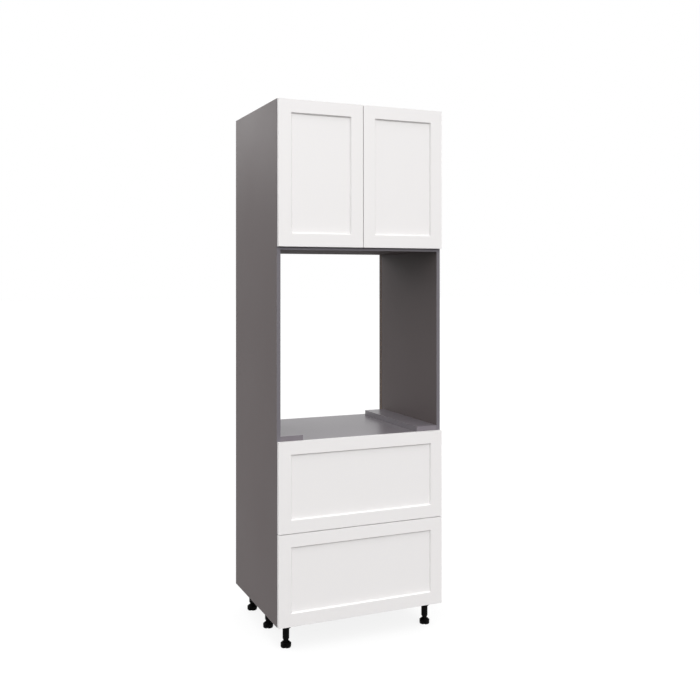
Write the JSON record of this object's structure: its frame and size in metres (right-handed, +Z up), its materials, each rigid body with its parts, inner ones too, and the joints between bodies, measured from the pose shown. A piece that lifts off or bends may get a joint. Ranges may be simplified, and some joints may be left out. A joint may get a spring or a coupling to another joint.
{
  "type": "tall oven housing unit",
  "caption": "Tall kitchen unit with a cupboard over an open oven bay and deep drawers below, on adjustable legs.",
  "frame": {"origin": "on the floor, under the middle of the unit's overall box, with the feet at their rest height", "axes": "+Z up; the doors and drawer fronts face -Y; +X is to the right of someone facing the fronts"},
  "size_m": [0.762, 0.6094, 2.2737],
  "materials": {
    "grey_melamine": "satin grey melamine",
    "batten_board": "satin grey melamine strip",
    "grey_backboard": "satin grey board",
    "edge_band": "satin edge banding",
    "white_paint": "white satin paint",
    "white_melamine": "white melamine",
    "black_plastic": "black moulded plastic",
    "zinc_steel": "zinc plated",
    "nickel_steel": "nickel plated"
  },
  "bodies": {
    "carcass": {"left_side_panel": "grey_melamine", "right_side_panel": "grey_melamine", "top_panel": "grey_melamine", "bottom_panel": "grey_melamine", "oven_top_shelf": "grey_melamine", "oven_floor_shelf": "grey_melamine", "adjustable_shelf": "grey_melamine", "shelf_pins": "zinc_steel", "oven_battens": "batten_board", "hanging_rails": "batten_board", "upper_back_panel": "grey_backboard", "lower_back_panel": "grey_backboard", "front_edge_bands": "edge_band", "cam_locks": "zinc_steel", "cam_bolts": "zinc_steel", "leg_sockets": "black_plastic", "leg_screws": "zinc_steel", "hinge_screws": "zinc_steel", "hinge_mounting_plates": "nickel_steel", "hinge_arms": "nickel_steel", "hinge_arm_pins": "nickel_steel", "cabinet_slides": "zinc_steel"},
    "left_links": {"left_hinge_links": "nickel_steel"},
    "left_door": {"left_door_stiles": "white_paint", "left_door_rails": "white_paint", "left_door_panel": "white_paint", "left_door_hinge_cups": "nickel_steel", "left_door_hinge_pins": "nickel_steel"},
    "right_links": {"right_hinge_links": "nickel_steel"},
    "right_door": {"right_door_stiles": "white_paint", "right_door_rails": "white_paint", "right_door_panel": "white_paint", "right_door_hinge_cups": "nickel_steel", "right_door_hinge_pins": "nickel_steel"},
    "lower_drawer": {"lower_drawer_front_stiles": "white_paint", "lower_drawer_front_rails": "white_paint", "lower_drawer_front_panel": "white_paint", "lower_drawer_front_screws": "zinc_steel", "lower_drawer_sides": "white_melamine", "lower_drawer_inner_front": "white_melamine", "lower_drawer_back": "white_melamine", "lower_drawer_bottom": "white_melamine", "lower_drawer_inner_slides": "zinc_steel"},
    "lower_slide_middles": {"lower_drawer_middle_slides": "zinc_steel"},
    "upper_drawer": {"upper_drawer_front_stiles": "white_paint", "upper_drawer_front_rails": "white_paint", "upper_drawer_front_panel": "white_paint", "upper_drawer_front_screws": "zinc_steel", "upper_drawer_sides": "white_melamine", "upper_drawer_inner_front": "white_melamine", "upper_drawer_back": "white_melamine", "upper_drawer_bottom": "white_melamine", "upper_drawer_inner_slides": "zinc_steel"},
    "upper_slide_middles": {"upper_drawer_middle_slides": "zinc_steel"},
    "front_left_foot_body": {"front_left_foot": "black_plastic"},
    "front_right_foot_body": {"front_right_foot": "black_plastic"},
    "middle_left_foot_body": {"middle_left_foot": "black_plastic"},
    "middle_right_foot_body": {"middle_right_foot": "black_plastic"},
    "back_left_foot_body": {"back_left_foot": "black_plastic"},
    "back_right_foot_body": {"back_right_foot": "black_plastic"}
  },
  "joints": [
    {"name": "left_link_swing", "type": "hinge", "parent": "carcass", "child": "left_links", "pos_m": [-0.3546, -0.28215, 1.96845], "axis": [0, 0, 1], "range_deg": [0, 27.8]},
    {"name": "left_door_swing", "type": "hinge", "parent": "left_links", "child": "left_door", "pos_m": [-0.3713, -0.29425, 1.96845], "axis": [0, 0, -1], "range_deg": [0, 127.8]},
    {"name": "right_link_swing", "type": "hinge", "parent": "carcass", "child": "right_links", "pos_m": [0.3546, -0.28215, 1.96845], "axis": [0, 0, -1], "range_deg": [0, 27.8]},
    {"name": "right_door_swing", "type": "hinge", "parent": "right_links", "child": "right_door", "pos_m": [0.3713, -0.29425, 1.96845], "axis": [0, 0, 1], "range_deg": [0, 127.8]},
    {"name": "lower_drawer_slide", "type": "slide", "parent": "carcass", "child": "lower_drawer", "axis": [0, -1, 0], "range_m": [0, 0.48]},
    {"name": "lower_slide_middle_run", "type": "slide", "parent": "carcass", "child": "lower_slide_middles", "axis": [0, -1, 0], "range_m": [0, 0.24]},
    {"name": "upper_drawer_slide", "type": "slide", "parent": "carcass", "child": "upper_drawer", "axis": [0, -1, 0], "range_m": [0, 0.48]},
    {"name": "upper_slide_middle_run", "type": "slide", "parent": "carcass", "child": "upper_slide_middles", "axis": [0, -1, 0], "range_m": [0, 0.24]},
    {"name": "front_left_foot_screw", "type": "slide", "parent": "carcass", "child": "front_left_foot_body", "axis": [0, 0, -1], "range_m": [-0.005, 0.025]},
    {"name": "front_right_foot_screw", "type": "slide", "parent": "carcass", "child": "front_right_foot_body", "axis": [0, 0, -1], "range_m": [-0.005, 0.025]},
    {"name": "middle_left_foot_screw", "type": "slide", "parent": "carcass", "child": "middle_left_foot_body", "axis": [0, 0, -1], "range_m": [-0.005, 0.025]},
    {"name": "middle_right_foot_screw", "type": "slide", "parent": "carcass", "child": "middle_right_foot_body", "axis": [0, 0, -1], "range_m": [-0.005, 0.025]},
    {"name": "back_left_foot_screw", "type": "slide", "parent": "carcass", "child": "back_left_foot_body", "axis": [0, 0, -1], "range_m": [-0.005, 0.025]},
    {"name": "back_right_foot_screw", "type": "slide", "parent": "carcass", "child": "back_right_foot_body", "axis": [0, 0, -1], "range_m": [-0.005, 0.025]}
  ],
  "couplings": [
    {"joint": "left_link_swing", "follows": "left_door_swing", "ratio": 0.21739},
    {"joint": "right_link_swing", "follows": "right_door_swing", "ratio": 0.21739},
    {"joint": "lower_slide_middle_run", "follows": "lower_drawer_slide", "ratio": 0.5},
    {"joint": "upper_slide_middle_run", "follows": "upper_drawer_slide", "ratio": 0.5}
  ]
}
